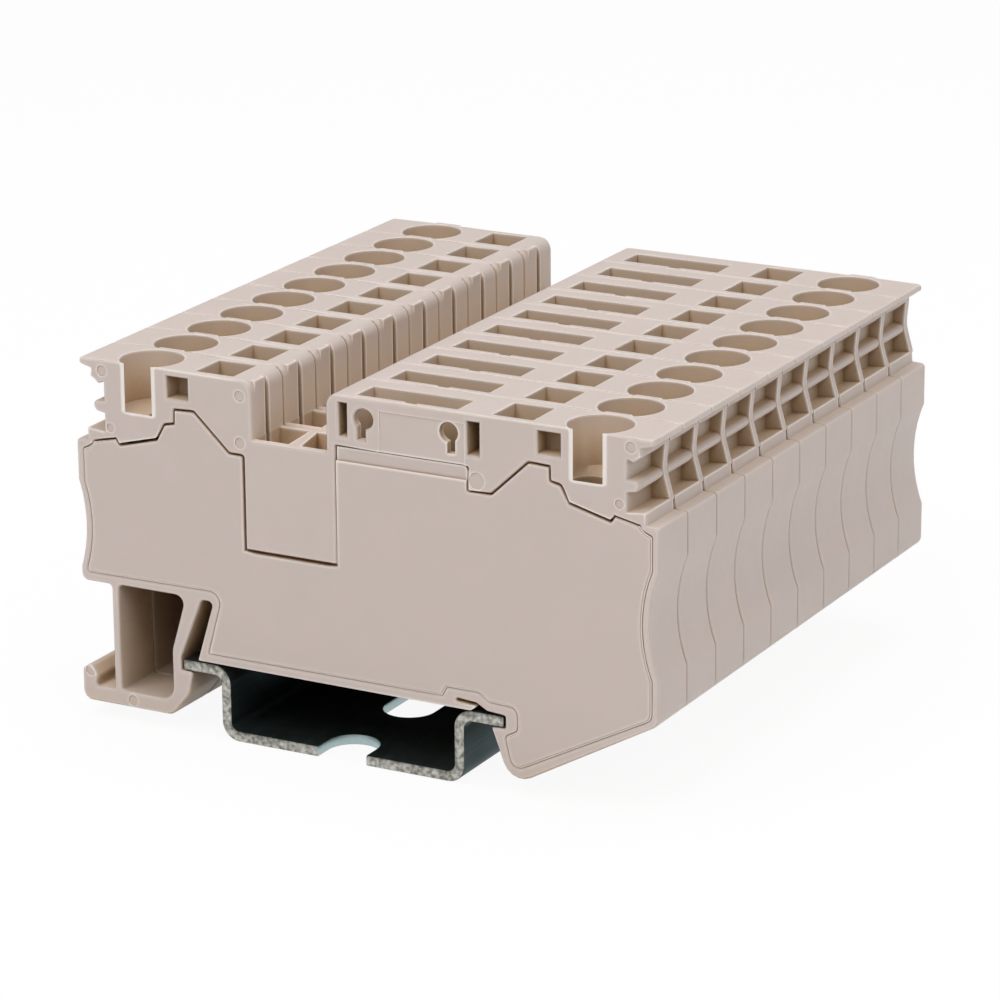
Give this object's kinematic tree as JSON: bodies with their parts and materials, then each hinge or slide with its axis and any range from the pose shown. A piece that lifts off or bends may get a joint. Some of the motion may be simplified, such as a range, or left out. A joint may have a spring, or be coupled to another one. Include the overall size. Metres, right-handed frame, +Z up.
{
  "type": "disconnect terminal block row on rail",
  "caption": "Row of moulded spring-clamp disconnect terminal blocks with wire funnels, screwdriver shafts and disconnect slots, clipped on a stub of slotted mounting rail.",
  "frame": {"origin": "on the rail's centre line at its underside, halfway along the row", "axes": "+X across the rail towards the side with the disconnect slots, +Y along the rail from the covered side to the closed side, +Z up out of the rail"},
  "size_m": [0.0627, 0.0614, 0.0364],
  "materials": {
    "body": "satin moulded polyamide",
    "cover": "satin moulded polyamide",
    "rail": "passivated zinc-plated steel strip",
    "bar": "tinned",
    "spring": "bright spring steel"
  },
  "bodies": {
    "root": {"din_rail": "rail", "housing_1": "body", "housing_2": "body", "housing_3": "body", "housing_4": "body", "housing_5": "body", "housing_6": "body", "housing_7": "body", "housing_8": "body", "housing_9": "body", "housing_10": "body", "side_cover_1": "cover", "side_cover_2": "cover", "side_cover_3": "cover", "side_cover_4": "cover", "side_cover_5": "cover", "side_cover_6": "cover", "side_cover_7": "cover", "side_cover_8": "cover", "side_cover_9": "cover", "side_cover_10": "cover", "left_bar_1": "bar", "left_bar_2": "bar", "left_bar_3": "bar", "left_bar_4": "bar", "left_bar_5": "bar", "left_bar_6": "bar", "left_bar_7": "bar", "left_bar_8": "bar", "left_bar_9": "bar", "left_bar_10": "bar", "right_bar_1": "bar", "right_bar_2": "bar", "right_bar_3": "bar", "right_bar_4": "bar", "right_bar_5": "bar", "right_bar_6": "bar", "right_bar_7": "bar", "right_bar_8": "bar", "right_bar_9": "bar", "right_bar_10": "bar", "clamp_springs_1": "spring", "clamp_springs_2": "spring", "clamp_springs_3": "spring", "clamp_springs_4": "spring", "clamp_springs_5": "spring", "clamp_springs_6": "spring", "clamp_springs_7": "spring", "clamp_springs_8": "spring", "clamp_springs_9": "spring", "clamp_springs_10": "spring"}
  },
  "joints": []
}
